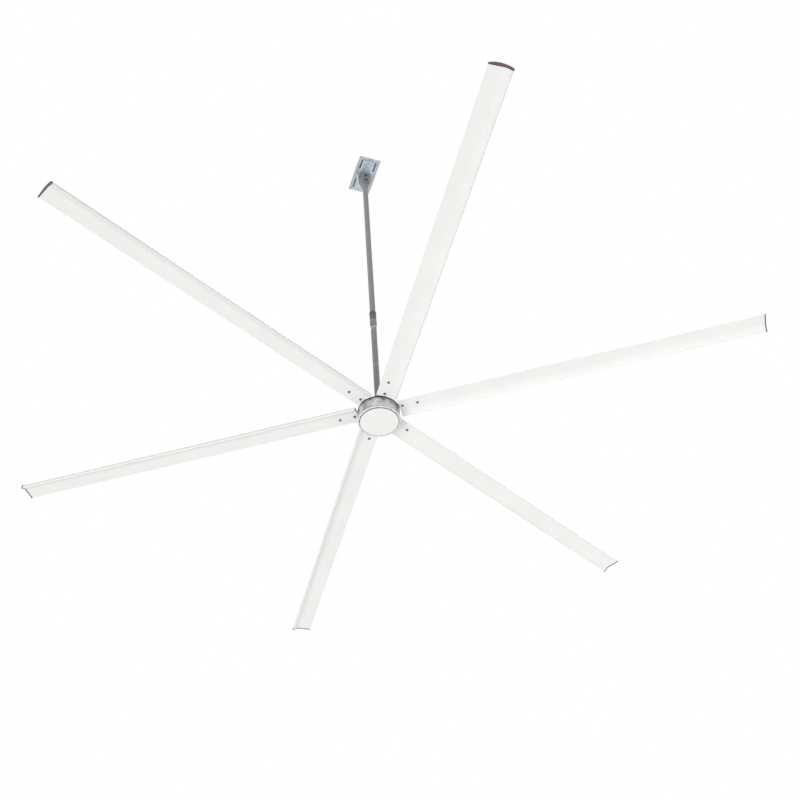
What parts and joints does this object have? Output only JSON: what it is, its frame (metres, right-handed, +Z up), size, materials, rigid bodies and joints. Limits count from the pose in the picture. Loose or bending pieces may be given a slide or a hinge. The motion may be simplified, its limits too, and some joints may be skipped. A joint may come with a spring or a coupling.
{
  "type": "industrial ceiling fan",
  "caption": "Large slow-turning ceiling fan with long cambered blades on a drum hub motor, hung on a long downrod from a slotted ceiling plate with a plumbing pivot.",
  "frame": {"origin": "centre of the ceiling plate's upper face, on the rotor's axis", "axes": "+Z up along the rotor's axis into the ceiling, +X along the ceiling plate's long side and slots"},
  "size_m": [7.3002, 6.6294, 4.25],
  "materials": {
    "galvanised_steel": "hot-dip galvanised",
    "dark_fasteners": "black oxide",
    "zinc_fasteners": "zinc plated",
    "grey_painted_steel": "satin grey paint",
    "red_painted_steel": "satin dark red paint",
    "black_nylon": "moulded",
    "machined_steel": "turned and ground",
    "lamination_steel": "stacked laminations",
    "copper_winding": "enamelled copper wire",
    "magnet": "nickel plated",
    "seal_rubber": "moulded",
    "dark_cast_aluminium": "dark coated casting",
    "turned_aluminium": "turned",
    "white_coated_aluminium": "white powder coat",
    "arm_steel": "pale grey coat",
    "plum_plastic": "moulded"
  },
  "bodies": {
    "mount": {"mount_plate": "galvanised_steel", "fork_cheek_front": "galvanised_steel", "fork_cheek_back": "galvanised_steel", "pivot_bolt": "dark_fasteners", "pivot_nut": "dark_fasteners", "pivot_washers": "zinc_fasteners"},
    "downrod": {"lock_bolt": "dark_fasteners", "lock_nut": "dark_fasteners", "lock_washers": "zinc_fasteners", "hanger_block": "grey_painted_steel", "upper_rod": "grey_painted_steel", "rod_coupling": "red_painted_steel", "coupling_screws": "zinc_fasteners", "lower_rod": "grey_painted_steel", "joint_spigot": "grey_painted_steel", "neck_tube": "grey_painted_steel", "rod_flange": "grey_painted_steel", "flange_bolts": "zinc_fasteners", "cable_gland": "black_nylon", "motor_shaft": "machined_steel", "shaft_nut": "machined_steel", "stator_core": "lamination_steel", "stator_coils": "copper_winding", "upper_bearing_inner_race": "machined_steel", "upper_bearing_balls": "machined_steel", "lower_bearing_inner_race": "machined_steel", "lower_bearing_balls": "machined_steel"},
    "rotor": {"upper_bearing_outer_race": "machined_steel", "lower_bearing_outer_race": "machined_steel", "shaft_seal": "seal_rubber", "rotor_top_plate": "dark_cast_aluminium", "rotor_drum": "turned_aluminium", "rotor_magnets": "magnet", "rotor_bottom_plate": "dark_cast_aluminium", "plate_screws": "zinc_fasteners", "trim_ring": "turned_aluminium", "bottom_cover": "white_coated_aluminium", "cover_posts": "zinc_fasteners", "arm_bolts": "zinc_fasteners", "blade_bolts": "dark_fasteners", "blade_nuts": "dark_fasteners", "blade_arm_1": "arm_steel", "blade_1": "white_coated_aluminium", "tip_cap_1": "plum_plastic", "blade_arm_2": "arm_steel", "blade_2": "white_coated_aluminium", "tip_cap_2": "plum_plastic", "blade_arm_3": "arm_steel", "blade_3": "white_coated_aluminium", "tip_cap_3": "plum_plastic", "blade_arm_4": "arm_steel", "blade_4": "white_coated_aluminium", "tip_cap_4": "plum_plastic", "blade_arm_5": "arm_steel", "blade_5": "white_coated_aluminium", "tip_cap_5": "plum_plastic", "blade_arm_6": "arm_steel", "blade_6": "white_coated_aluminium", "tip_cap_6": "plum_plastic"}
  },
  "joints": [
    {"name": "mount_pivot", "type": "hinge", "parent": "mount", "child": "downrod", "pos_m": [0, 0, -0.076], "axis": [1, 0, 0], "range_deg": [-10, 10]},
    {"name": "rotor_spin", "type": "hinge", "parent": "downrod", "child": "rotor", "pos_m": [0, 0, -4.096], "axis": [0, 0, 1], "continuous": true}
  ]
}
